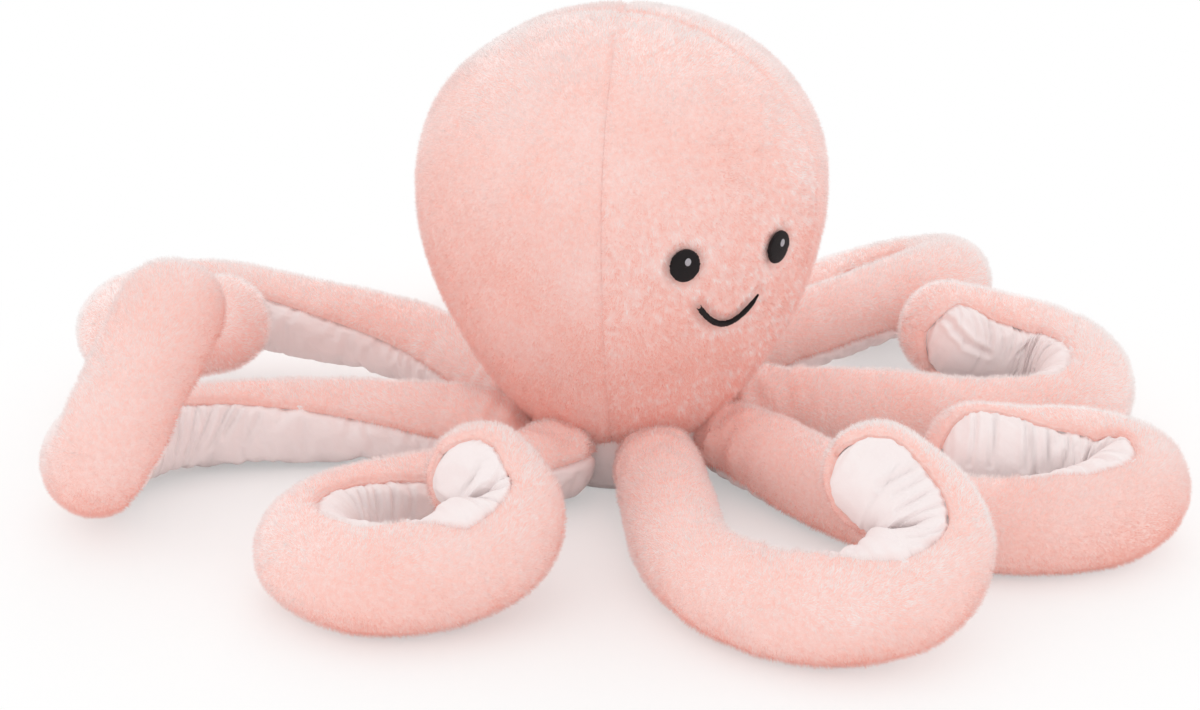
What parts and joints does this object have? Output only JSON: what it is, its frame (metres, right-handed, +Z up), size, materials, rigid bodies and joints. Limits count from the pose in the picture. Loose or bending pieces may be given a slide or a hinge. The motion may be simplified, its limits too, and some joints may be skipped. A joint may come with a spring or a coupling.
{
  "type": "plush octopus",
  "caption": "Stuffed plush octopus with a round panelled head, an embroidered smiling face and long curled arms that lift at their root seams; it sits on its base.",
  "frame": {"origin": "centre of the base panel's flat underside, on the surface that the toy sits on", "axes": "+Z up, the face looks along -Y"},
  "size_m": [0.7129, 0.6947, 0.3011],
  "materials": {
    "pink_plush": "salmon pink plush with a deep soft pile",
    "white_plush": "off-white short-nap plush, slightly pink",
    "stuffing": "loose polyester fibre",
    "dark_thread": "near-black satin-stitched thread",
    "pale_thread": "pale grey satin-stitched thread"
  },
  "bodies": {
    "head": {"head_filling": "stuffing", "head_panel_front": "pink_plush", "head_panel_left": "pink_plush", "head_panel_back": "pink_plush", "head_panel_right": "pink_plush", "base_panel": "white_plush", "eye_left": "dark_thread", "eye_right": "dark_thread", "eye_left_glint": "pale_thread", "eye_right_glint": "pale_thread", "smile": "dark_thread"},
    "arm_1": {"arm_1_top": "pink_plush", "arm_1_underside": "white_plush", "arm_1_filling": "stuffing"},
    "arm_2": {"arm_2_top": "pink_plush", "arm_2_underside": "white_plush", "arm_2_filling": "stuffing"},
    "arm_3": {"arm_3_top": "pink_plush", "arm_3_underside": "white_plush", "arm_3_filling": "stuffing"},
    "arm_4": {"arm_4_top": "pink_plush", "arm_4_underside": "white_plush", "arm_4_filling": "stuffing"},
    "arm_5": {"arm_5_top": "pink_plush", "arm_5_underside": "white_plush", "arm_5_filling": "stuffing"},
    "arm_6": {"arm_6_top": "pink_plush", "arm_6_underside": "white_plush", "arm_6_filling": "stuffing"},
    "arm_7": {"arm_7_top": "pink_plush", "arm_7_underside": "white_plush", "arm_7_filling": "stuffing"},
    "arm_8": {"arm_8_top": "pink_plush", "arm_8_underside": "white_plush", "arm_8_filling": "stuffing"}
  },
  "joints": [
    {"name": "arm_1_lift", "type": "hinge", "parent": "head", "child": "arm_1", "pos_m": [-0.02386, -0.08054, 0.0273], "axis": [-0.9997, 0.0262, 0], "range_deg": [0, 30]},
    {"name": "arm_2_lift", "type": "hinge", "parent": "head", "child": "arm_2", "pos_m": [0.04008, -0.07382, 0.0273], "axis": [-0.7254, -0.6884, 0], "range_deg": [0, 30]},
    {"name": "arm_3_lift", "type": "hinge", "parent": "head", "child": "arm_3", "pos_m": [0.08054, -0.02386, 0.0273], "axis": [-0.284, -0.9588, 0], "range_deg": [0, 30]},
    {"name": "arm_4_lift", "type": "hinge", "parent": "head", "child": "arm_4", "pos_m": [0.07382, 0.04008, 0.0273], "axis": [-0.0262, -0.9997, 0], "range_deg": [0, 30]},
    {"name": "arm_5_lift", "type": "hinge", "parent": "head", "child": "arm_5", "pos_m": [0.02386, 0.08054, 0.0273], "axis": [0.9588, -0.284, 0], "range_deg": [0, 30]},
    {"name": "arm_6_lift", "type": "hinge", "parent": "head", "child": "arm_6", "pos_m": [-0.04008, 0.07382, 0.0273], "axis": [0.7254, 0.6884, 0], "range_deg": [0, 30]},
    {"name": "arm_7_lift", "type": "hinge", "parent": "head", "child": "arm_7", "pos_m": [-0.08054, 0.02386, 0.0273], "axis": [0.7254, 0.6884, 0], "range_deg": [0, 30]},
    {"name": "arm_8_lift", "type": "hinge", "parent": "head", "child": "arm_8", "pos_m": [-0.07382, -0.04008, 0.0273], "axis": [-0.4772, 0.8788, 0], "range_deg": [0, 30]}
  ]
}
